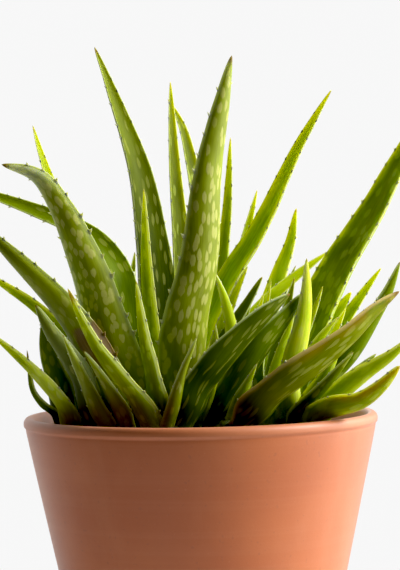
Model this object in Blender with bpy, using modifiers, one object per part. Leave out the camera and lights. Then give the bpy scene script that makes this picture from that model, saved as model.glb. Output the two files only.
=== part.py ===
"""A potted aloe: a terracotta pot, its soil, and nine rosettes of pointed, spotted leaves.

Run it with blender --background --python part.py, or from Blender's text editor.

The origin is at the middle of the pot's underside, +Z is up and -Y is the front. The
dimensions below are in millimetres, and every height in the plant is taken from the pot's rim.
"""

from dataclasses import dataclass
from math import cos, pi, radians, sin

import bmesh
import bpy
from mathutils import Matrix, Vector
from mathutils.geometry import interpolate_bezier

MM = 0.001
OBJECT_NAME = "potted_aloe"

# Pot
POT_HEIGHT = 180.0
POT_RIM_RADIUS = 100.0
POT_BASE_RADIUS = 62.0
POT_WALL = 6.5
POT_FLOOR = 8.0
POT_LIP_HEIGHT = 6.0
POT_LIP_STEP = 0.8
POT_FOOT_ROUNDING = 3.0
POT_STEPS = 64
DRAIN_HOLES = 3
DRAIN_HOLE_RADIUS = 6.0
DRAIN_CIRCLE_RADIUS = 33.0

# Soil, below the rim
SOIL_DEPTH_AT_WALL = 12.0
SOIL_DEPTH_AT_MIDDLE = 7.0
SOIL_STEPS = 48

# Crowns: the domed stem that each rosette grows from
CROWN_DEPTH = 8.0
CROWN_ROOT_LENGTH = 24.0
CROWN_STEPS = 16

# Leaves
CLEARANCE = 0.35
LEAF_THICKNESS_SHARE = 0.4
LEAF_TAPER = 0.6
LEAF_ROOT_WIDTH = 8.5
LEAF_ROOT_SHARE = 0.6
LEAF_SWELL_LENGTH = 30.0
LEAF_RING_SPACING = 20.0
LEAF_FEWEST_RINGS = 5
LEAF_MOST_RINGS = 11
LEAF_LEAN_UP = 0.4
CURVE_SAMPLES = 16

# One leaf section: across the leaf in half widths, and up from its midline in thicknesses.
# It runs round from the right margin over the hollow upper face and back under the keel.
LEAF_SECTION = (
    (1.0, 0.25),
    (0.5, 0.05),
    (0.0, 0.0),
    (-0.5, 0.05),
    (-1.0, 0.25),
    (-0.64, -0.5),
    (0.0, -0.75),
    (0.64, -0.5),
)


@dataclass(frozen=True)
class Finish:
    """Look of one material: linear colour, roughness and metallic value."""

    name: str
    colour: tuple
    roughness: float
    metallic: float = 0.0


TERRACOTTA = Finish("terracotta", (0.55, 0.22, 0.12), 0.8)
POTTING_SOIL = Finish("potting_soil", (0.035, 0.022, 0.015), 1.0)
CROWN_STEM = Finish("crown_stem", (0.20, 0.22, 0.06), 0.7)
DARK_LEAF = Finish("dark_leaf", (0.06, 0.16, 0.02), 0.4)
OLIVE_LEAF = Finish("olive_leaf", (0.16, 0.19, 0.04), 0.4)
BRIGHT_LEAF = Finish("bright_leaf", (0.26, 0.38, 0.04), 0.45)


@dataclass(frozen=True)
class Crown:
    """A rosette's domed stem, with its axis upright at (x, y)."""

    x: float
    y: float
    radius: float

    @property
    def centre(self):
        return Vector((self.x, self.y, POT_HEIGHT - CROWN_DEPTH))


CROWNS = {
    "front": Crown(-18, -62, 9),
    "front_left": Crown(-45, -46, 10),
    "left": Crown(-69, -24, 9),
    "mid_left": Crown(-35, -13, 12),
    "centre": Crown(-4, -26, 12),
    "front_right": Crown(14, -57, 9),
    "right": Crown(56, -28, 11),
    "back_right": Crown(43, 27, 11),
    "back": Crown(-8, 31, 12),
}


@dataclass(frozen=True)
class Leaf:
    """One leaf, by where it leaves its crown and the points that its midline passes through.

    bearing and rise say where the root sits on the crown's dome, in degrees round from +X and
    up from level. path holds (x, y, height above the rim), root to tip. facing is the bearing
    that the hollow upper face looks toward. A low taper keeps the leaf broad up to its tip.
    """

    name: str
    crown: str
    bearing: float
    rise: float
    path: tuple
    width: float
    facing: float
    finish: Finish
    taper: float = LEAF_TAPER


LEAVES = (
    # front rosette
    Leaf("leaf_front_left", "front", 190, 35,
         ((-34, -68, 14), (-50, -74, 35), (-59, -78, 50), (-69, -84, 74)), 15, 54, OLIVE_LEAF),
    Leaf("leaf_front_upright", "front", 150, 70,
         ((-25, -66, 24), (-30, -69, 49), (-33, -71, 77)), 13.5, 54, BRIGHT_LEAF),
    Leaf("leaf_front_short", "front", -80, 60,
         ((-14, -71, 10), (-10, -75, 25), (-1, -80, 47)), 9, 126, OLIVE_LEAF),
    Leaf("leaf_front_right_broad", "front", 10, 35,
         ((-4, -63, 14), (5, -64, 27), (19, -63, 42), (33, -59, 55), (50, -50, 68)),
         25.5, 126, DARK_LEAF, 0.5),
    # front left rosette
    Leaf("leaf_left_long", "front_left", 150, 65,
         ((-49, -45, 18), (-57, -48, 37), (-72, -52, 61), (-89, -54, 80), (-118, -50, 109)),
         28.5, 54, OLIVE_LEAF),
    Leaf("leaf_left_low_short", "front_left", -60, 45,
         ((-46, -60, 12), (-52, -64, 24), (-62, -68, 40)), 11.5, 54, OLIVE_LEAF),
    Leaf("leaf_left_low_olive", "front_left", -135, 35,
         ((-58, -59, 13), (-66, -65, 32), (-73, -69, 49)), 11, 70, OLIVE_LEAF),
    Leaf("leaf_left_grey", "front_left", 185, 25,
         ((-62, -49, 20), (-74, -55, 41), (-84, -58, 56), (-88, -59, 65)), 18, 70, DARK_LEAF, 0.45),
    # left rosette
    Leaf("leaf_left_arched", "left", 110, 55,
         ((-69, -26, 32), (-77, -33, 50), (-91, -36, 64), (-120, -34, 84)), 16, 54, BRIGHT_LEAF),
    Leaf("leaf_left_shaded", "left", 185, 50,
         ((-77, -31, 16), (-83, -36, 36), (-86, -39, 56)), 21, 54, DARK_LEAF, 0.5),
    Leaf("leaf_left_low_pale", "left", -110, 30,
         ((-74, -45, 8), (-83, -53, 21), (-94, -57, 33), (-114, -58, 51)), 14, 54, BRIGHT_LEAF),
    Leaf("leaf_left_low_bent", "left", -160, 20,
         ((-81, -33, 5), (-89, -41, 12), (-92, -45, 20), (-94, -46, 40)), 7, 54, DARK_LEAF),
    # middle left rosette
    Leaf("leaf_left_curled", "mid_left", -100, 50,
         ((-40, -30, 20), (-49, -36, 42), (-59, -42, 79), (-71, -48, 110), (-81, -52, 129),
          (-92, -54, 138), (-105, -55, 141)), 37, 62, OLIVE_LEAF, 0.62),
    Leaf("leaf_left_behind", "mid_left", 185, 45,
         ((-40, -13, 40), (-43, -11, 78), (-56, -8, 98), (-76, -6, 110), (-132, -2, 132)),
         21.5, -62, DARK_LEAF),
    Leaf("leaf_far_left_thin", "mid_left", 125, 50,
         ((-54, 8, 42), (-71, 24, 99), (-87, 38, 140), (-95, 48, 167)), 17, -54, BRIGHT_LEAF),
    Leaf("leaf_mid_left_short", "mid_left", 60, 60,
         ((-34, 0, 36), (-38, 4, 65), (-40, 6, 88)), 18.5, -54, DARK_LEAF),
    # centre rosette
    Leaf("leaf_centre_tall", "centre", -115, 55,
         ((-9, -38, 30), (-5, -44, 60), (2, -46, 88), (7, -44, 133), (21, -36, 199)),
         35.5, 126, OLIVE_LEAF),
    Leaf("leaf_centre_left_upright", "centre", 170, 50,
         ((-24, -25, 32), (-28, -25, 69), (-29, -25, 99), (-29, -25, 127)), 15, 54, BRIGHT_LEAF),
    Leaf("leaf_centre_right_dark", "centre", -40, 25,
         ((17, -42, 16), (31, -46, 37), (45, -42, 52), (58, -34, 68)), 24.5, 126, DARK_LEAF, 0.5),
    Leaf("leaf_centre_pale_edged", "centre", -5, 45,
         ((14, -31, 18), (19, -33, 34), (18, -33, 50), (14, -32, 68), (9, -31, 81)),
         14.5, 126, BRIGHT_LEAF),
    Leaf("leaf_centre_right_round", "centre", 45, 60,
         ((8, -23, 30), (18, -20, 48), (26, -19, 60), (36, -18, 77)), 14, -126, DARK_LEAF, 0.5),
    Leaf("leaf_centre_yellow", "centre", 20, 25,
         ((20, -17, 16), (34, -13, 42), (41, -10, 74)), 8, -126, BRIGHT_LEAF),
    Leaf("leaf_centre_small", "centre", -75, 25,
         ((5, -48, 12), (10, -54, 30), (9, -56, 53)), 7.5, 126, BRIGHT_LEAF),
    # front right rosette
    Leaf("leaf_front_right_long", "front_right", -20, 30,
         ((33, -68, 11), (52, -73, 26), (77, -67, 42), (90, -59, 54), (110, -44, 68)),
         26, 126, OLIVE_LEAF),
    Leaf("leaf_front_right_small", "front_right", 20, 65,
         ((23, -58, 14), (31, -60, 31)), 9.5, 126, BRIGHT_LEAF),
    # right rosette
    Leaf("leaf_right_outer", "right", 30, 48,
         ((65, -23, 12), (77, -25, 25), (89, -25, 42), (102, -22, 60), (113, -18, 84)),
         20.5, 126, DARK_LEAF),
    Leaf("leaf_right_low_long", "right", -35, 30,
         ((71, -46, 9), (86, -54, 22), (104, -58, 34), (115, -58, 44)), 18, 110, BRIGHT_LEAF),
    Leaf("leaf_right_lowest", "right", -75, 20,
         ((67, -54, 5), (84, -66, 9), (97, -71, 18), (107, -73, 29)), 17.5, 110, BRIGHT_LEAF, 0.45),
    Leaf("leaf_right_low_dark", "right", 0, 35,
         ((75, -36, 14), (86, -40, 24), (97, -41, 34)), 13.5, 126, DARK_LEAF),
    Leaf("leaf_right_low_first", "right", -65, 65,
         ((65, -44, 17), (70, -48, 26), (77, -51, 39)), 13.5, 126, BRIGHT_LEAF, 0.5),
    Leaf("leaf_right_low_second", "right", -110, 30,
         ((60, -51, 10), (71, -58, 22), (83, -61, 36)), 13.5, 126, DARK_LEAF),
    Leaf("leaf_right_bright_upright", "right", -155, 55,
         ((48, -38, 16), (54, -42, 39), (59, -42, 61), (60, -36, 87)), 19.5, 126, BRIGHT_LEAF),
    Leaf("leaf_right_small_tip", "right", 112, 62,
         ((56, -25, 17), (64, -29, 38), (77, -30, 54)), 13.5, 126, BRIGHT_LEAF),
    Leaf("leaf_right_small_bright", "right", 150, 35,
         ((48, -15, 20), (61, -12, 47), (70, -11, 71)), 11, -126, BRIGHT_LEAF),
    # back right rosette
    Leaf("leaf_right_broad_spotted", "back_right", -80, 50,
         ((50, 4, 17), (62, 1, 46), (79, 3, 80), (101, 8, 114), (116, 11, 141), (139, 15, 180)),
         32, -126, DARK_LEAF),
    Leaf("leaf_right_outer_thin", "back_right", -25, 35,
         ((64, 18, 23), (80, 20, 45), (94, 24, 64), (106, 28, 80)), 15.5, -118, BRIGHT_LEAF),
    Leaf("leaf_right_rounded", "back_right", 20, 55,
         ((59, 28, 22), (74, 32, 44), (89, 38, 66)), 17, -118, BRIGHT_LEAF, 0.45),
    Leaf("leaf_rear_pale", "back_right", 110, 50,
         ((36, 50, 30), (46, 66, 69), (55, 76, 92), (60, 84, 116)), 22, -126, BRIGHT_LEAF),
    Leaf("leaf_rear_small", "back_right", 165, 55,
         ((38, 40, 39), (51, 50, 67), (58, 58, 82)), 11, -126, DARK_LEAF),
    Leaf("leaf_rear_right_low", "back_right", 60, 25,
         ((57, 50, 14), (64, 68, 30), (68, 88, 52)), 17.5, -126, DARK_LEAF),
    # back rosette
    Leaf("leaf_back_slender", "back", -110, 75,
         ((-8, 22, 41), (-10, 28, 98), (-13, 38, 150), (-14, 46, 191)), 17.5, -54, BRIGHT_LEAF),
    Leaf("leaf_back_leaning", "back", 75, 65,
         ((3, 42, 40), (2, 58, 110), (-7, 76, 163), (-16, 84, 183)), 21, -54, BRIGHT_LEAF),
    Leaf("leaf_back_thin", "back", -60, 35,
         ((10, 12, 41), (14, 9, 84), (18, 7, 119), (20, 5, 156)), 15, -126, BRIGHT_LEAF),
    Leaf("leaf_right_diagonal_long", "back", -110, 25,
         ((0, 3, 39), (16, -2, 74), (36, -1, 105), (57, 4, 147), (78, 9, 182)),
         21, -126, DARK_LEAF),
    Leaf("leaf_back_thin_short", "back", 15, 60,
         ((11, 32, 46), (25, 46, 87), (36, 60, 127)), 13, -90, BRIGHT_LEAF),
    Leaf("leaf_back_left_tall", "back", 175, 50,
         ((-22, 30, 41), (-26, 38, 87), (-33, 50, 137), (-47, 62, 181), (-59, 72, 214)),
         34.5, -54, DARK_LEAF, 0.75),
    Leaf("leaf_back_right_bright", "back", -10, 30,
         ((18, 26, 34), (36, 30, 58), (56, 38, 75), (77, 46, 90)), 13, -90, BRIGHT_LEAF, 0.5),
    Leaf("leaf_rear_left_low", "back", 135, 25,
         ((-34, 50, 18), (-54, 62, 40), (-73, 72, 64)), 17, -50, DARK_LEAF),
    Leaf("leaf_rear_middle_low", "back", 90, 20,
         ((-4, 66, 16), (0, 84, 38), (2, 98, 68)), 20, -54, DARK_LEAF),
)


def clear_scene():
    for obj in list(bpy.data.objects):
        bpy.data.objects.remove(obj)


def new_collection(name, rendered=True):
    collection = bpy.data.collections.new(name)
    collection.hide_render = not rendered
    bpy.context.scene.collection.children.link(collection)
    return collection


def new_material(finish):
    material = bpy.data.materials.new(finish.name)
    material.use_nodes = True
    shader = material.node_tree.nodes["Principled BSDF"]
    shader.inputs["Base Color"].default_value = (*finish.colour, 1.0)
    shader.inputs["Roughness"].default_value = finish.roughness
    shader.inputs["Metallic"].default_value = finish.metallic
    material.diffuse_color = (*finish.colour, 1.0)
    return material


def add_object(name, shape, collection, material=None):
    """A smooth-shaded object made from a bmesh, which it frees."""
    mesh = bpy.data.meshes.new(name)
    shape.to_mesh(mesh)
    shape.free()
    mesh.shade_smooth()
    obj = bpy.data.objects.new(name, mesh)
    collection.objects.link(obj)
    if material:
        mesh.materials.append(material)
    return obj


def turned_shape(name, profile, steps, collection, material=None):
    """A solid of revolution about Z from (radius, height) points, in millimetres.

    The profile runs up any inner side first, then down the outer side to the axis.
    """
    shape = bmesh.new()
    points = [shape.verts.new((radius * MM, 0.0, height * MM)) for radius, height in profile]
    for start, end in zip(points, points[1:]):
        shape.edges.new((start, end))
    obj = add_object(name, shape, collection, material)
    screw = obj.modifiers.new("Turn", "SCREW")
    screw.axis = "Z"
    screw.steps = screw.render_steps = steps
    screw.use_merge_vertices = True
    screw.merge_threshold = 0.0001
    screw.use_smooth_shade = True
    return obj


def cut(obj, cutter):
    """Cuts the cutter out of obj and hides the cutter."""
    cutter.hide_render = True
    cutter.display_type = "WIRE"
    boolean = obj.modifiers.new("Cut " + cutter.name, "BOOLEAN")
    boolean.operation = "DIFFERENCE"
    boolean.solver = "EXACT"
    boolean.object = cutter


def arc(centre, radius, start, end, count):
    """count points along an arc in the profile plane, from start to end degrees."""
    turns = [radians(start + (end - start) * i / (count - 1)) for i in range(count)]
    return [(centre[0] + radius * cos(a), centre[1] + radius * sin(a)) for a in turns]


def pot_wall_radius(height):
    """Radius of the pot's outer wall at a height, below the lip."""
    top = POT_HEIGHT - POT_LIP_HEIGHT
    slope = (POT_RIM_RADIUS - POT_LIP_STEP - POT_BASE_RADIUS) / top
    return POT_BASE_RADIUS + slope * height


def soil_height(radius):
    """Height of the soil's domed surface at a radius."""
    share = radius / pot_wall_radius(POT_HEIGHT)
    middle = POT_HEIGHT - SOIL_DEPTH_AT_MIDDLE
    return middle - (SOIL_DEPTH_AT_WALL - SOIL_DEPTH_AT_MIDDLE) * share**2


def make_pot(collection, cutters, material):
    """The tapered pot with a rounded lip and drain holes through its floor."""
    half_wall = POT_WALL / 2
    lip_centre = (POT_RIM_RADIUS - half_wall, POT_HEIGHT - half_wall)
    foot = POT_FOOT_ROUNDING
    profile = [(0.0, POT_FLOOR), (pot_wall_radius(POT_FLOOR) - POT_WALL - foot, POT_FLOOR)]
    profile.append((pot_wall_radius(POT_FLOOR + foot) - POT_WALL, POT_FLOOR + foot))
    profile += arc(lip_centre, half_wall, 180, 0, 9)
    lip_foot = POT_HEIGHT - POT_LIP_HEIGHT
    profile.append((pot_wall_radius(lip_foot), lip_foot))
    profile += [(pot_wall_radius(foot), foot), (POT_BASE_RADIUS - 0.3 * foot, 0.3 * foot)]
    profile += [(POT_BASE_RADIUS - foot, 0.0), (0.0, 0.0)]
    pot = turned_shape("pot", profile, POT_STEPS, collection, material)
    for i in range(DRAIN_HOLES):
        angle = 2 * pi * i / DRAIN_HOLES + pi / 2
        place = Vector((cos(angle), sin(angle), 0.0)) * DRAIN_CIRCLE_RADIUS
        place.z = POT_FLOOR / 2
        shape = bmesh.new()
        bmesh.ops.create_cone(shape, cap_ends=True, segments=20, radius1=DRAIN_HOLE_RADIUS * MM,
                              radius2=DRAIN_HOLE_RADIUS * MM, depth=POT_FLOOR * 2 * MM,
                              matrix=Matrix.Translation(place * MM))
        cut(pot, add_object(f"drain_hole_cutter_{i + 1}", shape, cutters))
    return pot


def crown_profile(radius, extra=0.0):
    """The root stub below a crown's widest level, grown by extra all round."""
    widest = radius + extra
    return [
        (widest, 0.0),
        (0.8 * radius + extra, -0.45 * CROWN_ROOT_LENGTH),
        (0.35 * radius + extra, -0.9 * CROWN_ROOT_LENGTH),
        (0.0, -CROWN_ROOT_LENGTH - extra),
    ]


def make_crown(name, crown, collection, material):
    """A rosette's stem: a dome that the leaves grow from, on a stub that tapers into the soil."""
    dome = arc((0.0, 0.0), crown.radius, 90, 0, 6)
    dome[0] = (0.0, crown.radius)
    obj = turned_shape("crown_" + name, dome + crown_profile(crown.radius)[1:], CROWN_STEPS,
                       collection, material)
    obj.location = crown.centre * MM
    return obj


def make_crown_cutter(name, crown, cutters):
    """The hole in the soil for a crown, a clearance wider than its stub."""
    top = 2 * crown.radius
    profile = [(0.0, top), (crown.radius + CLEARANCE, top), *crown_profile(crown.radius, CLEARANCE)]
    cutter = turned_shape("crown_hole_cutter_" + name, profile, CROWN_STEPS, cutters)
    cutter.location = crown.centre * MM
    return cutter


def make_soil(collection, cutters, material):
    """The soil that fills the pot to a shallow dome, with a hole for each crown."""
    gap = POT_WALL + CLEARANCE
    edge_height = POT_HEIGHT - SOIL_DEPTH_AT_WALL
    edge = pot_wall_radius(edge_height) - gap - CLEARANCE
    bottom = POT_FLOOR + CLEARANCE
    chamfer = POT_FOOT_ROUNDING
    rings = 6
    profile = [(edge * i / rings, soil_height(edge * i / rings)) for i in range(rings + 1)]
    profile.append((pot_wall_radius(bottom + chamfer) - gap, bottom + chamfer))
    profile += [(pot_wall_radius(bottom) - gap - chamfer, bottom), (0.0, bottom)]
    soil = turned_shape("soil", profile, SOIL_STEPS, collection, material)
    for name, crown in CROWNS.items():
        cut(soil, make_crown_cutter(name, crown, cutters))
    return soil


def midline(leaf):
    """The leaf's smooth midline and its length: points from root to tip, in millimetres."""
    crown = CROWNS[leaf.crown]
    bearing, rise = radians(leaf.bearing), radians(leaf.rise)
    outward = Vector((cos(bearing) * cos(rise), sin(bearing) * cos(rise), sin(rise)))
    knots = [crown.centre + outward * (crown.radius + CLEARANCE)]
    knots += [Vector((x, y, POT_HEIGHT + height)) for x, y, height in leaf.path]
    ways = [outward]
    ways += [(after - before).normalized() for before, after in zip(knots, knots[2:])]
    ways.append((knots[-1] - knots[-2]).normalized())
    points = [knots[0]]
    for i in range(len(knots) - 1):
        reach = (knots[i + 1] - knots[i]).length / 3
        start, end = knots[i] + ways[i] * reach, knots[i + 1] - ways[i + 1] * reach
        points += interpolate_bezier(knots[i], start, end, knots[i + 1], CURVE_SAMPLES)[1:]
    return points


def walk(points, count):
    """count + 1 points spaced evenly along a polyline, with their directions and its length."""
    travelled = [0.0]
    for before, after in zip(points, points[1:]):
        travelled.append(travelled[-1] + (after - before).length)
    stations, ways = [], []
    for step in range(count + 1):
        distance = travelled[-1] * step / count
        i = max(j for j in range(len(points) - 1) if travelled[j] <= distance)
        span = points[i + 1] - points[i]
        stations.append(points[i] + span.normalized() * (distance - travelled[i]))
        ways.append(span.normalized())
    return stations, ways, travelled[-1]


def leaf_width(leaf, distance, length):
    """Width at a distance from the root: it swells from the root, then tapers to the tip."""
    taper = leaf.width * (1 - distance / length) ** leaf.taper
    root = min(LEAF_ROOT_WIDTH, LEAF_ROOT_SHARE * leaf.width) / leaf.width
    swell = min(1.0, distance / min(LEAF_SWELL_LENGTH, length / 2))
    return taper * (root + (1 - root) * swell * swell * (3 - 2 * swell))


def make_leaf(leaf, collection, material):
    """One leaf: crescent sections lofted along its midline to a point at the tip."""
    points = midline(leaf)
    length = walk(points, 1)[2]
    rings = round(length / LEAF_RING_SPACING)
    rings = min(LEAF_MOST_RINGS, max(LEAF_FEWEST_RINGS, rings))
    stations, ways, _ = walk(points, rings)
    facing = radians(leaf.facing)
    toward = Vector((cos(facing), sin(facing), LEAF_LEAN_UP))
    shape = bmesh.new()
    sections = []
    for i in range(rings):
        up = (toward - ways[i] * toward.dot(ways[i])).normalized()
        across = ways[i].cross(up)
        width = leaf_width(leaf, length * i / rings, length)
        thickness = width * LEAF_THICKNESS_SHARE
        corners = [stations[i] + across * a * width / 2 + up * u * thickness
                   for a, u in LEAF_SECTION]
        sections.append([shape.verts.new(corner * MM) for corner in corners])
    shape.faces.new(sections[0])
    for lower, upper in zip(sections, sections[1:]):
        for i in range(len(lower)):
            shape.faces.new((lower[i - 1], lower[i], upper[i], upper[i - 1]))
    tip = shape.verts.new(stations[-1] * MM)
    for i in range(len(sections[-1])):
        shape.faces.new((sections[-1][i - 1], sections[-1][i], tip))
    bmesh.ops.recalc_face_normals(shape, faces=shape.faces)
    return add_object(leaf.name, shape, collection, material)


def main():
    clear_scene()
    parts = new_collection(OBJECT_NAME)
    cutters = new_collection("cutters", rendered=False)
    finishes = (TERRACOTTA, POTTING_SOIL, CROWN_STEM, DARK_LEAF, OLIVE_LEAF, BRIGHT_LEAF)
    materials = {finish: new_material(finish) for finish in finishes}
    make_pot(parts, cutters, materials[TERRACOTTA])
    make_soil(parts, cutters, materials[POTTING_SOIL])
    for name, crown in CROWNS.items():
        make_crown(name, crown, parts, materials[CROWN_STEM])
    for leaf in LEAVES:
        make_leaf(leaf, parts, materials[leaf.finish])


main()
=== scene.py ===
"""Potted aloe plant: finely shaped leaves, stems, soil and pot over the plain bodies of the frame."""

import logging
import math
import random
from dataclasses import dataclass, field
from enum import Enum
from typing import Callable, Optional, Sequence, Union

import bmesh
import bpy
from mathutils import Matrix, Quaternion, Vector, noise


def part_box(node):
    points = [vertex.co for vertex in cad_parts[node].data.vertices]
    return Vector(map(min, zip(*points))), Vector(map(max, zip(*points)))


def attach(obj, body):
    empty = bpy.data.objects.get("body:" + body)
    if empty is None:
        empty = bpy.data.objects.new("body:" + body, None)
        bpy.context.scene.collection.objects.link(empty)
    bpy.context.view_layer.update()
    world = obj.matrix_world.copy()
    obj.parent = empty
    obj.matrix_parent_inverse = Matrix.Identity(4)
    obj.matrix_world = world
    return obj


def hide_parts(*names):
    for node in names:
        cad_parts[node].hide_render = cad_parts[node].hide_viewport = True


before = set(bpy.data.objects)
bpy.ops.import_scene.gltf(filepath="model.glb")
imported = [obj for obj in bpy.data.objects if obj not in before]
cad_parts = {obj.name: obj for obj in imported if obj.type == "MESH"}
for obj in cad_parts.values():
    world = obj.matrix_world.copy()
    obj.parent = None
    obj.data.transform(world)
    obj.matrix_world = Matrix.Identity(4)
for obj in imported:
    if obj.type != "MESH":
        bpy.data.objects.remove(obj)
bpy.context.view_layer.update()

LOG = logging.getLogger("potted_aloe")
MM = 0.001
TURN = 2 * math.pi
GOLDEN_ANGLE = 2.39996
# How many points a ring of a leaf's node has.
RING_SIZE = 8
# How far a leaf's margins stand above the middle of its section, as a share of its thickness.
MARGIN_LIFT = 0.25
# What keeps the patterns of the shoots apart from those of the leaves.
SHOOT_SEEDS = 100

Colour = tuple[float, float, float]
Number = Union[float, "Wire"]
Point = tuple[float, float]


# ---------------------------------------------------------------- shader maths


class Wire:
    """One output of a shader node, which Python expressions can work on."""

    def __init__(self, tree: bpy.types.NodeTree, socket: bpy.types.NodeSocket) -> None:
        """Keeps the socket and the tree it belongs to."""
        self.tree = tree
        self.socket = socket

    def maths(self, operation: str, *others: Number, swapped: bool = False) -> "Wire":
        """Adds one Math node.

        Args:
            operation: the Math node's operation.
            others: the other values it works on.
            swapped: whether this wire is the second value and not the first.

        Returns:
            The result.
        """
        node = self.tree.nodes.new("ShaderNodeMath")
        node.operation = operation
        values = [self, *others]
        if swapped:
            values.reverse()
        for socket, value in zip(node.inputs, values):
            if isinstance(value, Wire):
                self.tree.links.new(value.socket, socket)
            else:
                socket.default_value = value
        return Wire(self.tree, node.outputs[0])

    def __add__(self, other: Number) -> "Wire":
        """This plus other."""
        return self.maths("ADD", other)

    def __radd__(self, other: Number) -> "Wire":
        """Other plus this."""
        return self.maths("ADD", other, swapped=True)

    def __sub__(self, other: Number) -> "Wire":
        """This minus other."""
        return self.maths("SUBTRACT", other)

    def __rsub__(self, other: Number) -> "Wire":
        """Other minus this."""
        return self.maths("SUBTRACT", other, swapped=True)

    def __mul__(self, other: Number) -> "Wire":
        """This times other."""
        return self.maths("MULTIPLY", other)

    def __rmul__(self, other: Number) -> "Wire":
        """Other times this."""
        return self.maths("MULTIPLY", other, swapped=True)

    def step(self, start: float, end: float) -> "Wire":
        """A soft step of this value.

        Args:
            start: the value at which the step is 0.
            end: the value at which it is 1. It may be the smaller one.

        Returns:
            The step, from 0 to 1.
        """
        node = self.tree.nodes.new("ShaderNodeMapRange")
        node.interpolation_type = "SMOOTHSTEP"
        self.tree.links.new(self.socket, node.inputs["Value"])
        node.inputs["From Min"].default_value = start
        node.inputs["From Max"].default_value = end
        return Wire(self.tree, node.outputs[0])

    def limit(self) -> "Wire":
        """This value kept between 0 and 1."""
        return self.maths("MAXIMUM", 0.0).maths("MINIMUM", 1.0)


Paint = Union[Colour, Wire]


class Graph:
    """The node tree of one material while it is made."""

    def __init__(self, name: str) -> None:
        """Starts an empty material of that name."""
        self.material = bpy.data.materials.new(name)
        self.material.use_nodes = True
        self.tree = self.material.node_tree
        self.tree.nodes.clear()

    def node(self, kind: str, settings: Optional[dict] = None,
             sockets: Optional[dict] = None) -> bpy.types.Node:
        """Adds one node.

        Args:
            kind: the node's type.
            settings: its properties, set first.
            sockets: values or wires for its inputs, by name or number.

        Returns:
            The node.
        """
        node = self.tree.nodes.new(kind)
        for name, value in (settings or {}).items():
            setattr(node, name, value)
        for name, value in (sockets or {}).items():
            socket = node.inputs[name]
            if isinstance(value, Wire):
                self.tree.links.new(value.socket, socket)
            elif isinstance(value, tuple) and len(socket.default_value) == 4:
                socket.default_value = (*value, 1.0)
            else:
                socket.default_value = value
        return node

    def wire(self, node: bpy.types.Node, output: Union[int, str] = 0) -> Wire:
        """One output of a node as a wire."""
        return Wire(self.tree, node.outputs[output])

    def attribute(self, name: str) -> tuple[Wire, Wire, Wire]:
        """The three parts of a vector that the mesh carries under a name."""
        node = self.node("ShaderNodeAttribute", {"attribute_name": name})
        return self.parts(self.wire(node, "Vector"))

    def parts(self, vector: Wire) -> tuple[Wire, Wire, Wire]:
        """The X, Y and Z of a vector."""
        node = self.node("ShaderNodeSeparateXYZ", sockets={0: vector})
        return self.wire(node, 0), self.wire(node, 1), self.wire(node, 2)

    def vector(self, x: Number, y: Number, z: Number) -> Wire:
        """A vector of three values."""
        return self.wire(self.node("ShaderNodeCombineXYZ", sockets={0: x, 1: y, 2: z}))

    def place(self) -> Wire:
        """Where a point lies on the object, in metres."""
        return self.wire(self.node("ShaderNodeTexCoord"), "Object")

    def scaled(self, vector: Wire, scale: Colour) -> Wire:
        """A vector stretched along each axis."""
        node = self.node("ShaderNodeVectorMath", {"operation": "MULTIPLY"}, {0: vector, 1: scale})
        return self.wire(node)

    def cloud(self, vector: Wire, scale: float, detail: float = 2.0, rough: float = 0.5) -> Wire:
        """Soft noise.

        Args:
            vector: where to read it.
            scale: how fine it is.
            detail: how many finer layers it has.
            rough: how strong those layers are.

        Returns:
            The noise, from 0 to 1 and mostly near a half.
        """
        sockets = {"Vector": vector, "Scale": scale, "Detail": detail, "Roughness": rough}
        return self.wire(self.node("ShaderNodeTexNoise", sockets=sockets), 0)

    def mix(self, amount: Number, first: Paint, second: Paint) -> Wire:
        """Mixes two colours.

        Args:
            amount: how much of the second one shows.
            first: the first colour.
            second: the second colour.

        Returns:
            The mixed colour.
        """
        # The node takes its colours at inputs 6 and 7, and gives the mixed one at output 2.
        node = self.node("ShaderNodeMix", {"data_type": "RGBA"}, {0: amount, 6: first, 7: second})
        return self.wire(node, 2)

    def bump(self, height: Wire, depth: float) -> Wire:
        """The normal of a surface with relief.

        Args:
            height: the relief, from 0 to 1.
            depth: how deep 1 is, in metres.

        Returns:
            The normal.
        """
        return self.wire(self.node("ShaderNodeBump", sockets={"Distance": depth, "Height": height}))

    def surface(self, sockets: dict) -> bpy.types.Material:
        """Ends the material with its surface.

        Args:
            sockets: values or wires for the surface's inputs.

        Returns:
            The finished material.
        """
        shader = self.node("ShaderNodeBsdfPrincipled", sockets=sockets)
        self.node("ShaderNodeOutputMaterial", sockets={"Surface": self.wire(shader)})
        return self.material


def tinted(colour: Colour, by: float) -> Colour:
    """A colour made lighter or darker by a factor."""
    return tuple(min(1.0, part * by) for part in colour)


# ---------------------------------------------------------------- finishes


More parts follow.
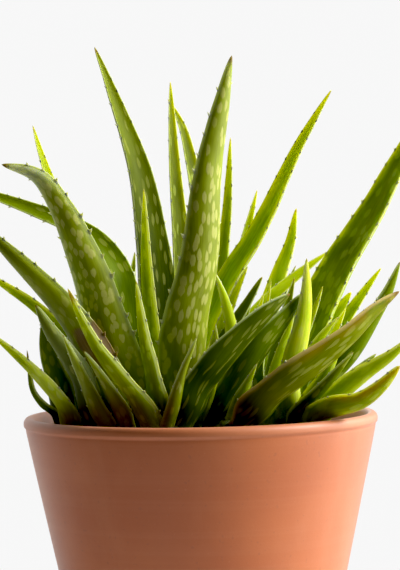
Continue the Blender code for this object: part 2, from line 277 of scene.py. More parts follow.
@dataclass(frozen=True)
class LeafFinish:
    """The skin of one kind of leaf: colours, how light runs through it, and relief in millimetres."""

    shade: Colour
    light: Colour
    fresh: Colour = (0.42, 0.50, 0.024)
    spot: Colour = (0.60, 0.62, 0.15)
    edge: Colour = (0.58, 0.68, 0.30)
    # Pale tip colour: partly a real bleached tip, partly a painted highlight.
    bleached_and_highlight: Colour = (0.78, 0.84, 0.58)
    rust: Colour = (0.46, 0.22, 0.02)
    tooth: Colour = (0.72, 0.76, 0.44)
    tooth_tip: Colour = (0.40, 0.26, 0.10)
    dead: tuple[Colour, Colour] = ((0.14, 0.085, 0.035), (0.38, 0.27, 0.14))
    scorched: tuple[Colour, Colour] = ((0.10, 0.055, 0.02), (0.28, 0.17, 0.06))
    dust: Colour = (0.07, 0.045, 0.025)
    bled: Colour = (2.6, 2.5, 0.3)
    relief: float = 0.16
    roughness: float = 0.44
    glow: float = 0.5
    depth: float = 1.3
    gloss: float = 0.05

    def dress(self, name: str, look: "LeafLook", seed: int) -> bpy.types.Material:
        """Makes the material of one leaf.

        Args:
            name: the material's name.
            look: how this leaf differs from others of its kind.
            seed: what sets its pattern apart.

        Returns:
            The material.
        """
        graph = Graph(name)
        across, along, side = graph.attribute("place")
        share, margin, tooth = graph.attribute("leaf")
        shift = 7.13 * seed
        # One factor per leaf lightens or darkens its colours: partly the leaf's own tone, partly painted
        # light and shade for how much light that leaf catches.
        tint_and_painted_light = look.tone_and_painted_light * (0.92 + 0.16 * random.Random(seed).random())
        mottle = graph.cloud(graph.vector(across * 0.10, along * 0.04, side * 2.0 + shift), 1.0, 3.0)
        streak = graph.cloud(graph.vector(across * 1.3, along * 0.06, side * 3.0 + shift), 1.0, 2.0)
        pores = graph.cloud(graph.vector(across, along, side + shift), 1.6, 2.0)
        blend = mottle.step(0.32, 0.68) * 0.65 + streak.step(0.3, 0.7) * 0.35
        skin = graph.mix(blend, tinted(self.shade, tint_and_painted_light), tinted(self.light, tint_and_painted_light))
        skin = graph.mix(share.step(0.25, 1.0) * look.fresh, skin, self.fresh)
        # Painted shade: the leaf turns darker over its last 45 mm toward the root, where the crowded crown
        # shades it.
        base = along.step(45.0, 5.0)
        skin = graph.mix(base * 0.35, skin, tinted(self.shade, 0.75))

        inside = margin.step(0.5, 1.6)
        cells = graph.node(
            "ShaderNodeTexVoronoi", {"voronoi_dimensions": "2D"},
            {"Vector": graph.vector(
                across * (1 / look.spot_width) + mottle * 0.9 + side * 9.7,
                along * (1 / look.spot_length) + streak * 0.5 + shift, 0.0),
             "Scale": 1.0, "Randomness": 0.9})
        chance = graph.parts(graph.wire(cells, "Color"))[0]
        kept = (chance + look.spots - 1.0 + share.step(1.0, 0.1) * 0.18).step(-0.02, 0.12)
        spot = graph.wire(cells, "Distance").step(0.45, 0.29) * kept * inside
        spot = spot * (0.62 + 0.38 * pores)
        skin = graph.mix(spot * look.spot_strength, skin, self.spot)

        # Paler tip and one margin: partly a real bleached tip, partly a painted highlight where the curled
        # tip faces the light.
        paling_and_highlight = (share + (across * 0.03).limit() * 0.5).step(1.0 - look.bleach_and_highlight, 0.96)
        skin = graph.mix(paling_and_highlight * min(1.0, look.bleach_and_highlight * 3.0), skin, self.bleached_and_highlight)

        flush_spread = graph.cloud(graph.vector(across * 0.16, along * 0.05, side + shift + 3.0), 1.0, 3.0)
        rusty = (flush_spread.step(0.36, 0.62) * margin.step(4.5, 0.8) * share.step(0.1, 0.6)).limit()
        skin = graph.mix(rusty * look.flush, skin, self.rust)
        line = margin.step(look.edge_width, 0.15 * look.edge_width)
        skin = graph.mix(line * 0.85, skin, self.edge)
        skin = graph.mix(tooth.step(0.02, 0.4) * 0.9, skin, self.tooth)
        skin = graph.mix(tooth.step(0.8, 1.0) * 0.3, skin, self.tooth_tip)

        wither_edge = graph.cloud(graph.vector(across * 0.22, along * 0.08, shift + 5.0), 1.0, 4.0)
        start, end = look.withered
        ragged = share + wither_edge * 0.2
        window = ragged.step(start, start + 0.06) * ragged.step(end, end - 0.06)
        crumple = window * (across * look.withered_side * 0.1 + wither_edge).step(0.42, 0.62)
        skin = graph.mix(crumple, skin, graph.mix(streak, *self.dead))
        tip = (share + wither_edge * 0.03).step(1.0 - look.dry_tip, 1.02 - 0.55 * look.dry_tip)
        skin = graph.mix(tip, skin, graph.mix(streak, *self.scorched))
        dust = along.step(14.0, 2.0) * pores.step(0.4, 0.6)
        skin = graph.mix(dust * 0.3, skin, self.dust)

        dull = (crumple + tip).limit()
        rough = self.roughness + mottle * 0.10 + spot * 0.08 + dull * 0.3
        height = mottle * 0.6 + streak * 0.12 + spot * 0.30 + dull * wither_edge * 0.5
        return graph.surface({
            "Base Color": skin,
            "Roughness": rough,
            "Normal": graph.bump(height * margin.step(0.2, 2.2), self.relief * MM),
            "Subsurface Weight": self.glow,
            "Subsurface Radius": self.bled,
            "Subsurface Scale": self.depth * MM,
            "Specular IOR Level": self.gloss,
        })


class LeafTone(Enum):
    """The kinds of leaf skin on the plant."""

    DARK = LeafFinish((0.070, 0.125, 0.001), (0.160, 0.245, 0.002))
    OLIVE = LeafFinish((0.190, 0.235, 0.001), (0.340, 0.420, 0.010), gloss=0.40)
    BRIGHT = LeafFinish((0.250, 0.350, 0.004), (0.500, 0.610, 0.035), spot=(0.62, 0.72, 0.14),
                        glow=0.85, depth=2.2)
    GREY = LeafFinish((0.090, 0.130, 0.020), (0.200, 0.250, 0.070), roughness=0.52, gloss=0.30)
    PALE = LeafFinish((0.300, 0.400, 0.014), (0.520, 0.620, 0.070), spot=(0.66, 0.74, 0.28),
                      glow=0.85, depth=2.2)
    RUSSET = LeafFinish((0.080, 0.105, 0.001), (0.155, 0.180, 0.003), edge=(0.66, 0.50, 0.20))


@dataclass(frozen=True)
class Terracotta:
    """Fired clay with a pale bloom, fine grain and faint turning lines. Places in metres from the foot.

    Inside is what lies nearer the axis than a cone through the middle of the wall, whose radius
    grows from wall_foot by wall_lean with height. Each pair of heights is where a change starts
    and where it is full.
    """

    body: Colour = (0.64, 0.165, 0.034)
    deep: Colour = (0.58, 0.136, 0.024)
    bloom: Colour = (0.76, 0.30, 0.14)
    fleck: Colour = (0.40, 0.105, 0.04)
    grit: Colour = (0.80, 0.42, 0.24)
    # Near-black brown inside the mouth: partly a damp stain, partly painted shade in the recess.
    damp_stain_and_shade: Colour = (0.11, 0.045, 0.022)
    wall_lean: float = 0.2138
    wall_foot: float = 0.0580
    lip_heights: Point = (0.1735, 0.1765)
    foot_heights: Point = (0.012, 0.0)
    damp_and_shade_heights: Point = (0.1795, 0.164)

    def dress(self) -> bpy.types.Material:
        """The material."""
        graph = Graph("terracotta")
        place = graph.place()
        x, y, z = graph.parts(place)
        cloud = graph.cloud(place, 14.0, 4.0, 0.55)
        grain = graph.cloud(place, 900.0, 3.0, 0.6)
        speck = graph.cloud(place, 420.0, 1.0, 0.4)
        turning = graph.cloud(graph.scaled(place, (3.0, 3.0, 260.0)), 1.0, 3.0, 0.6)
        skin = graph.mix(cloud.step(0.35, 0.68), self.body, self.deep)
        skin = graph.mix(turning.step(0.45, 0.7) * 0.07, skin, self.bloom)
        haze = graph.cloud(graph.scaled(place, (22.0, 22.0, 9.0)), 1.0, 5.0, 0.62)
        skin = graph.mix(haze.step(0.50, 0.74) * 0.20, skin, self.bloom)
        skin = graph.mix(z.step(*self.lip_heights) * 0.30, skin, self.bloom)
        skin = graph.mix(speck.step(0.68, 0.76) * 0.25, skin, self.fleck)
        skin = graph.mix(grain.step(0.62, 0.80) * 0.15, skin, self.grit)
        skin = graph.mix(z.step(*self.foot_heights) * cloud * 0.7, skin, self.deep)
        wall = z * self.wall_lean + self.wall_foot
        inside = (x * x + y * y - wall * wall).step(0.0, -0.0001)
        # Darker inside the pot's mouth down toward the soil: partly a damp stain, partly painted shade in
        # the recess.
        damp_and_shade = inside * z.step(*self.damp_and_shade_heights)
        skin = graph.mix(damp_and_shade * 0.85, skin, self.damp_stain_and_shade)
        relief = grain * 0.4 + turning * 0.15 + speck * 0.15 + cloud * 0.2
        return graph.surface({
            "Base Color": skin,
            "Roughness": 0.50 + haze * 0.14 - damp_and_shade * 0.10,
            "Normal": graph.bump(relief, 0.12 * MM),
            "Specular IOR Level": 0.9,
            "Coat Weight": 0.25,
            "Coat Roughness": 0.42,
            "Sheen Weight": 0.45,
            "Sheen Roughness": 0.35,
            "Sheen Tint": (1.0, 0.86, 0.80),
        })


@dataclass(frozen=True)
class PottingSoil:
    """Dark moist compost with fibres and a few pale grains."""

    wet: Colour = (0.016, 0.010, 0.006)
    dry: Colour = (0.075, 0.045, 0.026)
    bark: Colour = (0.15, 0.085, 0.04)
    grit: tuple[Colour, Colour] = ((0.30, 0.27, 0.21), (0.50, 0.47, 0.40))

    def dress(self) -> bpy.types.Material:
        """The material."""
        graph = Graph("potting_soil")
        place = graph.place()
        tint, pale, _ = graph.attribute("crumb")
        clods = graph.cloud(place, 90.0, 6.0, 0.65)
        fibre = graph.cloud(graph.scaled(place, (900.0, 160.0, 500.0)), 1.0, 3.0, 0.6)
        grain = graph.cloud(place, 1500.0, 2.0, 0.6)
        skin = graph.mix((clods.step(0.38, 0.66) * 0.7 + tint * 0.5).limit(), self.wet, self.dry)
        skin = graph.mix(fibre.step(0.62, 0.72) * 0.6, skin, self.bark)
        skin = graph.mix(pale, skin, graph.mix(grain, *self.grit))
        relief = clods * 0.6 + fibre * 0.3 + grain * 0.3
        return graph.surface({
            "Base Color": skin,
            "Roughness": 0.86 + clods * 0.1,
            "Normal": graph.bump(relief, 0.8 * MM),
            "Specular IOR Level": 0.25,
        })


@dataclass(frozen=True)
class StemSkin:
    """The stem between the leaves: pale green scales with brown papery rims."""

    flesh: Colour = (0.10, 0.13, 0.012)
    paper: Colour = (0.10, 0.062, 0.025)
    low: Colour = (0.06, 0.04, 0.022)

    def dress(self) -> bpy.types.Material:
        """The material."""
        graph = Graph("crown_stem")
        rim, up, _ = graph.attribute("scale")
        place = graph.place()
        mottle = graph.cloud(place, 260.0, 4.0, 0.6)
        fibre = graph.cloud(graph.scaled(place, (1600.0, 1600.0, 220.0)), 1.0, 3.0)
        skin = graph.mix(mottle.step(0.35, 0.65), self.flesh, tinted(self.flesh, 0.55))
        skin = graph.mix((rim + mottle * 0.4 - 0.2).step(0.35, 0.8), skin, self.paper)
        skin = graph.mix(up.step(0.35, 0.0) * 0.8, skin, self.low)
        return graph.surface({
            "Base Color": skin,
            "Roughness": 0.55 + mottle * 0.25,
            "Normal": graph.bump(mottle * 0.5 + fibre * 0.5, 0.5 * MM),
            "Subsurface Weight": 0.15,
            "Subsurface Radius": (1.5, 2.0, 0.5),
            "Subsurface Scale": MM,
        })


@dataclass(frozen=True)
class StudioPaper:
    """Plain pale floor paper that fades out toward its rim."""

    colour: Colour = (0.66, 0.66, 0.66)
    fade: Point = (0.36, 0.61)

    def dress(self) -> bpy.types.Material:
        """The material."""
        graph = Graph("studio_paper")
        fibre = graph.cloud(graph.place(), 300.0, 2.0)
        skin = graph.mix(fibre.step(0.4, 0.6) * 0.3, self.colour, tinted(self.colour, 0.985))
        x, y, _ = graph.parts(graph.place())
        near, far = self.fade
        return graph.surface({
            "Base Color": skin,
            "Roughness": 0.9,
            "Specular IOR Level": 0.1,
            "Alpha": (x * x + y * y).step(far * far, near * near),
        })


# ---------------------------------------------------------------- meshes


@dataclass
class Shape:
    """Points, faces and per-point values of a mesh while it is made."""

    points: list[Vector] = field(default_factory=list)
    faces: list[tuple[int, ...]] = field(default_factory=list)
    values: dict[str, list[tuple[float, float, float]]] = field(default_factory=dict)

    def add(self, point: Vector, **values: tuple[float, float, float]) -> int:
        """Adds one point with its values.

        Args:
            point: where it is, in metres.
            values: what it carries, three numbers under each name.

        Returns:
            The point's number.
        """
        self.points.append(point)
        for name, value in values.items():
            self.values.setdefault(name, []).append(value)
        return len(self.points) - 1

    def bridge(self, first: Sequence[int], second: Sequence[int]) -> None:
        """Joins two rings of as many points with faces that look outward."""
        for i in range(len(first)):
            self.faces.append((first[i], first[i - 1], second[i - 1], second[i]))

    def wrap(self, rings: Sequence[Sequence[int]]) -> None:
        """Joins rings about the upright axis. One point over and over is a ring that has closed."""
        for first, second in zip(rings, rings[1:]):
            for i in range(len(first)):
                corners = dict.fromkeys((first[i - 1], second[i - 1], second[i], first[i]))
                if len(corners) > 2:
                    self.faces.append(tuple(corners))

    def fan(self, ring: Sequence[int], tip: int) -> None:
        """Closes a ring to one point ahead of it."""
        for i in range(len(ring)):
            self.faces.append((ring[i], ring[i - 1], tip))

    def build(self, name: str, material: bpy.types.Material) -> bpy.types.Object:
        """Makes the object.

        Args:
            name: its name.
            material: its finish.

        Returns:
            The object, smooth all over.
        """
        mesh = bpy.data.meshes.new(name)
        mesh.from_pydata(self.points, [], self.faces)
        for key, rows in self.values.items():
            layer = mesh.attributes.new(key, "FLOAT_VECTOR", "POINT")
            layer.data.foreach_set("vector", [number for row in rows for number in row])
        mesh.polygons.foreach_set("use_smooth", [True] * len(mesh.polygons))
        mesh.materials.append(material)
        mesh.update()
        return placed(bpy.data.objects.new(name, mesh))


def placed(obj: bpy.types.Object) -> bpy.types.Object:
    """Links an object into the scene."""
    bpy.context.scene.collection.objects.link(obj)
    return obj


def settle(obj: bpy.types.Object, slot: str, *nodes: str) -> None:
    """Ties a finished piece to the frame.

    Args:
        obj: the piece.
        slot: the name of a material slot. It is not used.
        nodes: the frame's nodes that it stands for.
    """
    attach(obj, "root")
    if nodes:
        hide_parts(*nodes)
    LOG.info("%s: %d points", obj.name, len(obj.data.vertices))


def arc(centre: Point, radius: float, start: float, end: float, count: int) -> list[Point]:
    """Points along an arc in a profile.

    Args:
        centre: the arc's centre.
        radius: its radius.
        start: its first angle, in degrees.
        end: its last angle, in degrees.
        count: how many points it has.

    Returns:
        The points, as (radius, height).
    """
    angles = [math.radians(start + (end - start) * i / (count - 1)) for i in range(count)]
    return [(centre[0] + radius * math.cos(a), centre[1] + radius * math.sin(a)) for a in angles]


def around(radius: float, step: int, steps: int) -> Point:
    """The place at one step of a full turn about the upright axis.

    Args:
        radius: how far it is from the axis.
        step: which step it is.
        steps: how many steps make the full turn.

    Returns:
        Its x and y.
    """
    angle = TURN * step / steps
    return radius * math.cos(angle), radius * math.sin(angle)


def bearing(turn: float, rise: float) -> Vector:
    """The direction at a turn from +X and a rise from level, both in radians."""
    return Vector((math.cos(turn) * math.cos(rise), math.sin(turn) * math.cos(rise), math.sin(rise)))


def turned(profile: Sequence[Point], steps: int, wobble: Callable[[Vector], float]) -> Shape:
    """Turns a profile about the upright axis.

    Args:
        profile: (radius, height) points in millimetres, from the axis round to the axis.
        steps: how many steps make the full turn.
        wobble: how far a point stands out from the true circle, in millimetres.

    Returns:
        The shape, in metres.
    """
    shape = Shape()
    rings = []
    for radius, height in profile:
        if radius == 0:
            rings.append([shape.add(Vector((0, 0, height)) * MM)] * steps)
            continue
        ring = []
        for i in range(steps):
            way = Vector((*around(1.0, i, steps), 0))
            point = way * radius + Vector((0, 0, height))
            ring.append(shape.add((point + way * wobble(point)) * MM))
        rings.append(ring)
    shape.wrap(rings)
    return shape


# ---------------------------------------------------------------- pot


@dataclass(frozen=True)
class Pot:
    """The tapered clay pot with a rounded lip and drain holes. Sizes in millimetres."""

    height: float = 180.0
    rim_radius: float = 100.0
    base_radius: float = 62.0
    wall: float = 6.5
    floor: float = 8.0
    lip_height: float = 6.0
    lip_step: float = 0.8
    groove: float = 0.45
    foot_rounding: float = 3.0
    steps: int = 192
    holes: int = 3
    hole_radius: float = 6.0
    hole_circle: float = 33.0

    def radius_at(self, height: float) -> float:
        """Radius of the outer wall at a height, below the lip."""
        top = self.height - self.lip_height
        return self.base_radius + (self.rim_radius - self.lip_step - self.base_radius) * height / top

    def profile(self) -> list[Point]:
        """The pot's section, from the middle of its inner floor round to the middle of its foot."""
        foot, half = self.foot_rounding, self.wall / 2
        inner = self.radius_at(self.floor) - self.wall
        points = [(0.0, self.floor), (inner * 0.5, self.floor), (inner - foot, self.floor)]
        points += arc((inner - foot, self.floor + foot), foot, -90, 0, 6)[1:]
        for i in range(1, 14):
            height = self.floor + foot + (self.height - half - 4.0 - self.floor - foot) * i / 13
            points.append((self.radius_at(height) - self.wall, height))
        points += arc((self.rim_radius - half, self.height - half), half, 176, 0, 15)
        crease = self.height - self.lip_height
        points += [(self.rim_radius, crease + 1.6), (self.rim_radius - 0.15, crease + 0.9)]
        points += [(self.rim_radius - self.lip_step, crease + 0.2),
                   (self.radius_at(crease) - self.groove, crease - 0.5),
                   (self.radius_at(crease) - self.groove, crease - 1.1),
                   (self.radius_at(crease - 2.2) - 0.1, crease - 2.2)]
        for i in range(1, 25):
            height = (crease - 3.4) + (foot - crease + 3.4) * i / 24
            points.append((self.radius_at(height), height))
        points += arc((self.base_radius - foot + 0.3, foot), foot, -12, -90, 7)
        points += [(self.base_radius * 0.5, 0.0), (0.0, 0.0)]
        return points

    def wobble(self, point: Vector) -> float:
        """Faint unevenness of the turned wall."""
        if point.z < 4 or point.z > self.height - 1:
            return 0.0
        return 0.10 * noise.noise(point * 0.02) - 0.05

    def drilled(self, pot: bpy.types.Object) -> bpy.types.Mesh:
        """Drills the drain holes through the floor.

        Args:
            pot: the pot without holes.

        Returns:
            Its mesh with the holes.
        """
        drills = []
        for i in range(self.holes):
            angle = TURN * i / self.holes + math.pi / 2
            shape = bmesh.new()
            spot = Vector((math.cos(angle) * self.hole_circle, math.sin(angle) * self.hole_circle, 4.0))
            bmesh.ops.create_cone(shape, cap_ends=True, segments=40, radius1=(self.hole_radius + 0.3) * MM,
                                  radius2=self.hole_radius * MM, depth=20 * MM,
                                  matrix=Matrix.Translation(spot * MM))
            mesh = bpy.data.meshes.new("drill")
            shape.to_mesh(mesh)
            shape.free()
            drills.append(placed(bpy.data.objects.new("drill", mesh)))
            cut = pot.modifiers.new("hole", "BOOLEAN")
            cut.operation = "DIFFERENCE"
            cut.solver = "EXACT"
            cut.object = drills[-1]
        graph = bpy.context.evaluated_depsgraph_get()
        mesh = bpy.data.meshes.new_from_object(pot.evaluated_get(graph))
        pot.modifiers.clear()
        for drill in drills:
            bpy.data.objects.remove(drill)
        return mesh

    def build(self) -> None:
        """Makes the pot."""
        material = Terracotta().dress()
        pot = turned(self.profile(), self.steps, self.wobble).build("clay_pot", material)
        pot.data = self.drilled(pot)
        pot.data.polygons.foreach_set("use_smooth", [True] * len(pot.data.polygons))
        pot.data.set_sharp_from_angle(angle=math.radians(50))
        settle(pot, "terracotta", "pot")


# ---------------------------------------------------------------- soil


@dataclass(frozen=True)
class SoilBed:
    """The crumbly compost in the pot. Sizes in millimetres."""

    pot: Pot
    depth_at_wall: float = 12.0
    depth_at_middle: float = 7.0
    gap: float = 0.3
    rings: int = 44
    sectors: int = 160
    crumbs: int = 1100
    pale_share: float = 0.05
    plug_bevel: float = 4.0
    seed: int = 5

    @property
    def edge(self) -> float:
        """Radius of the soil where it meets the wall."""
        return self.pot.radius_at(self.pot.height - self.depth_at_wall) - self.pot.wall - self.gap

    def height_at(self, x: float, y: float) -> float:
        """Height of the crumbly surface.

        Args:
            x: where, in millimetres.
            y: where, in millimetres.

        Returns:
            The height in millimetres.
        """
        share = math.hypot(x, y) / self.edge
        middle = self.pot.height - self.depth_at_middle
        even = middle - (self.depth_at_wall - self.depth_at_middle) * share**2
        swells = noise.noise(Vector((x, y, 3.0)) / 17.0) * 1.5
        clods = noise.fractal(Vector((x, y, 9.0)) / 5.0, 0.7, 2.2, 4) * 0.9
        return even - 0.6 + swells + clods

    def surface(self, material: bpy.types.Material) -> bpy.types.Object:
        """The bed itself: a rough top on a plain plug that fills the pot.

        Args:
            material: its finish.

        Returns:
            The piece.
        """
        shape = Shape()
        crumb = {"crumb": (0.35, 0.0, 0.0)}
        middle = shape.add(Vector((0, 0, self.height_at(0, 0))) * MM, **crumb)
        rings = [[middle] * self.sectors]
        for ring in range(1, self.rings + 1):
            radius = self.edge * ring / self.rings
            row = []
            for i in range(self.sectors):
                x, y = around(radius, i, self.sectors)
                row.append(shape.add(Vector((x, y, self.height_at(x, y))) * MM, **crumb))
            rings.append(row)
        low = self.pot.floor + 0.4
        for height, inset in ((low + self.plug_bevel, 0.0), (low, self.plug_bevel)):
            radius = self.pot.radius_at(height) - self.pot.wall - self.gap - inset
            rings.append([shape.add(Vector((*around(radius, i, self.sectors), height)) * MM, **crumb)
                          for i in range(self.sectors)])
        rings.append([shape.add(Vector((0, 0, low)) * MM, **crumb)] * self.sectors)
        shape.wrap(rings)
        return shape.build("soil_bed", material)

    def loose(self, material: bpy.types.Material) -> bpy.types.Object:
        """Crumbs, bark bits and pale grains lying on the bed.

        Args:
            material: their finish.

        Returns:
            The piece.
        """
        chance = random.Random(self.seed)
        lump = bmesh.new()
        bmesh.ops.create_icosphere(lump, subdivisions=2, radius=1.0)
        corners = [vertex.co.copy() for vertex in lump.verts]
        faces = [tuple(vertex.index for vertex in face.verts) for face in lump.faces]
        lump.free()
        shape = Shape()
        for _ in range(self.crumbs):
            radius = (self.edge - 3.0) * math.sqrt(chance.random())
            angle = chance.random() * TURN
            size = 0.6 + 2.1 * chance.random() ** 2.6
            pale = 1.0 if chance.random() < self.pale_share else 0.0
            x, y = radius * math.cos(angle), radius * math.sin(angle)
            spot = Vector((x, y, self.height_at(x, y) + 0.15 * size))
            stretch = Vector((1.0 + 0.9 * chance.random(), 1.0, 0.55 + 0.35 * chance.random()))
            turn, tilt = chance.random() * TURN, chance.random() - 0.5
            spin = Quaternion((0, 0, 1), turn) @ Quaternion((1, 0, 0), tilt)
            drift = Vector((chance.random(), chance.random(), chance.random())) * 50
            tint = chance.random()
            start = len(shape.points)
            for corner in corners:
                dent = 0.78 + 0.5 * noise.noise(corner * 1.3 + drift)
                pulled = Vector((corner.x * stretch.x, corner.y, corner.z * stretch.z))
                shape.add((spot + (spin @ pulled) * (size * dent)) * MM, crumb=(tint, pale, 0.0))
            shape.faces += [tuple(start + i for i in face) for face in faces]
        return shape.build("soil_crumbs", material)

    def build(self) -> None:
        """Makes the bed and what lies on it."""
        material = PottingSoil().dress()
        settle(self.surface(material), "potting_soil", "soil")
        settle(self.loose(material), "potting_soil")


# ---------------------------------------------------------------- crowns


@dataclass(frozen=True)
class Crown:
    """A rosette's stem: a dome of closely set scales. Sizes in millimetres, groove in radii."""

    node: str
    seed: int
    scales: int = 26
    relief: float = 0.9
    groove: float = 0.16
    root: float = 24.0
    levels: int = 18
    steps: int = 56

    def build(self, material: bpy.types.Material) -> None:
        """Makes the stem over its node.

        Args:
            material: its finish.
        """
        low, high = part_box(self.node)
        radius = (high[0] - low[0]) / 2 / MM
        centre = Vector(((low[0] + high[0]) / 2, (low[1] + high[1]) / 2, high[2] - radius * MM))
        budding = []
        for i in range(self.scales):
            share = (i + 0.5) / self.scales
            budding.append(bearing(GOLDEN_ANGLE * i + self.seed, math.asin(1.0 - share)))
        shape = Shape()
        rings = []
        for level in range(1, self.levels + 1):
            rise = math.pi / 2 * (1 - level / self.levels)
            rings.append([self.skin(shape, centre, radius, budding, rise, i) for i in range(self.steps)])
        for share, depth in ((0.8, 0.45), (0.35, 0.9)):
            ring = []
            for i in range(self.steps):
                x, y = around(radius, i, self.steps)
                spot = centre + Vector((x * share, y * share, -depth * self.root)) * MM
                ring.append(shape.add(spot, scale=(0.0, 0.0, 0.0)))
            rings.append(ring)
        top = shape.add(centre + Vector((0, 0, radius - 0.3)) * MM, scale=(0.0, 1.0, 0.0))
        end = shape.add(centre - Vector((0, 0, self.root)) * MM, scale=(0.0, 0.0, 0.0))
        for i in range(self.steps):
            shape.faces.append((top, rings[0][i - 1], rings[0][i]))
            shape.faces.append((rings[-1][i], rings[-1][i - 1], end))
        for first, second in zip(rings, rings[1:]):
            shape.bridge(first, second)
        settle(shape.build(self.node.replace("crown", "stem"), material), "crown_stem", self.node)

    def skin(self, shape: Shape, centre: Vector, radius: float, budding: Sequence[Vector],
             rise: float, step: int) -> int:
        """Adds one point of the scaly dome.

        Args:
            shape: the stem's shape.
            centre: the dome's centre, in metres.
            radius: the dome's radius.
            budding: the directions of the scales' middles.
            rise: the point's angle above the level of the centre.
            step: its place round the turn.

        Returns:
            The point's number.
        """
        way = bearing(TURN * step / self.steps, rise)
        nearest = sorted((way - bud).length for bud in budding)[:2]
        rim = max(0.0, 1.0 - (nearest[1] - nearest[0]) / self.groove)
        bulge = -self.relief * rim**2
        return shape.add(centre + way * (radius + bulge) * MM, scale=(rim, way.z, 0.0))


# ---------------------------------------------------------------- leaves


# A tooth's rings from foot to tip: how far out, how far along, its length, its height, its tip colour.
TOOTH_RINGS = ((-0.2, 0.0, 1.25, 0.5, 0.0), (0.28, 0.08, 0.72, 0.36, 0.3), (0.66, 0.36, 0.34, 0.2, 0.62))
TOOTH_SIDES = 8


@dataclass(frozen=True)
class LeafLook:
    """How one leaf differs from the next. Lengths in millimetres, shares from root to tip."""

    tone: LeafTone
    spots: float = 0.45
    spot_strength: float = 0.7
    spot_width: float = 3.4
    spot_length: float = 8.0
    teeth: float = 1.5
    tooth_gap: float = 13.0
    edge_width: float = 0.9
    fresh: float = 0.35
    # Lightens or darkens the leaf's colours: partly its own tone, partly painted light and shade for how
    # much light the leaf catches.
    tone_and_painted_light: float = 1.0
    dry_tip: float = 0.02
    flush: float = 0.0
    # How far down from the tip the paling runs: partly a real bleached tip, partly a painted highlight.
    bleach_and_highlight: float = 0.0
    withered: Point = (2.0, 2.1)
    withered_side: float = 1.0
    blunt: float = 0.62
    wave: float = 0.35


@dataclass
class Section:
    """A leaf's section at one place. Vectors in metres."""

    middle: Vector
    up: Vector
    half: float
    thick: float


